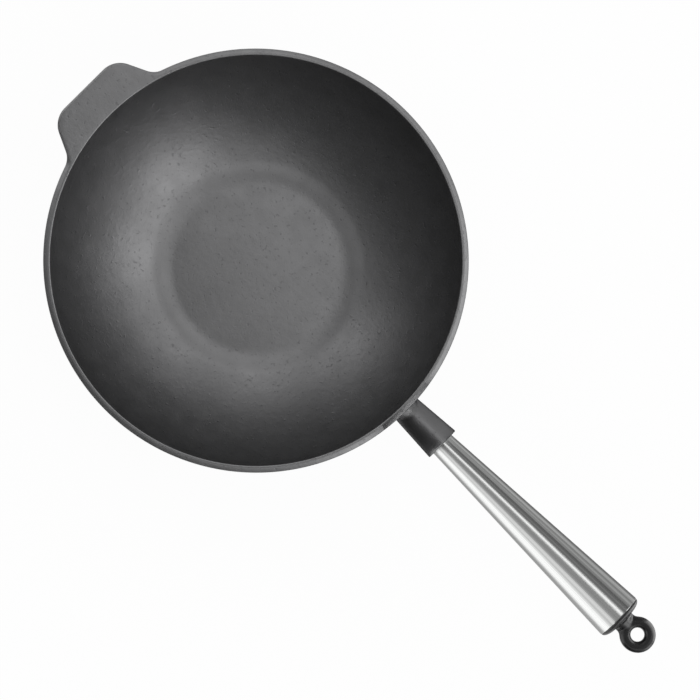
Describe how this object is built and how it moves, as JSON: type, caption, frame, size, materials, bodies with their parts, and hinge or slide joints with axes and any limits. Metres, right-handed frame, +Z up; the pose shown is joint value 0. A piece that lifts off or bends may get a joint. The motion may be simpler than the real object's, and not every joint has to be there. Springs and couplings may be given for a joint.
{
  "type": "wok",
  "caption": "Flat-bottomed iron wok cast in one with a pull tab and a handle socket, with a hollow tapered steel handle that a tie rod and a screwed hanging eye clamp in place.",
  "frame": {"origin": "middle of the flat underside of the base, on the surface that the wok stands on", "axes": "+Z up along the bowl's axis, +X towards the long handle, the pull tab on the -X side"},
  "size_m": [0.5605, 0.2998, 0.1111],
  "materials": {
    "seasoned_iron": "seasoned cast iron, semi-gloss with a fine cast grain",
    "brushed_steel": "stainless steel brushed lengthwise, bright",
    "plated_steel": "zinc-plated steel",
    "black_plastic": "satin black heat-proof plastic",
    "black_paint": "black enamelled casting"
  },
  "bodies": {
    "wok": {"wok_body": "seasoned_iron", "handle_shell": "brushed_steel", "nose_bush": "plated_steel", "end_cap": "black_plastic", "tie_rod": "plated_steel", "flat_washer": "plated_steel"},
    "washer": {"spring_washer": "plated_steel"},
    "eye": {"hanging_eye": "black_paint"}
  },
  "joints": [
    {"name": "eye_backoff", "type": "slide", "parent": "wok", "child": "washer", "axis": [0.9962, 0, 0.0872], "range_m": [0, 0.012]},
    {"name": "eye_turn", "type": "hinge", "parent": "washer", "child": "eye", "pos_m": [0.36249, 0, 0.09409], "axis": [0.9962, 0, 0.0872], "range_deg": [0, 4320]}
  ],
  "couplings": [
    {"joint": "eye_backoff", "follows": "eye_turn", "m_per_rad": 0.00015915}
  ]
}
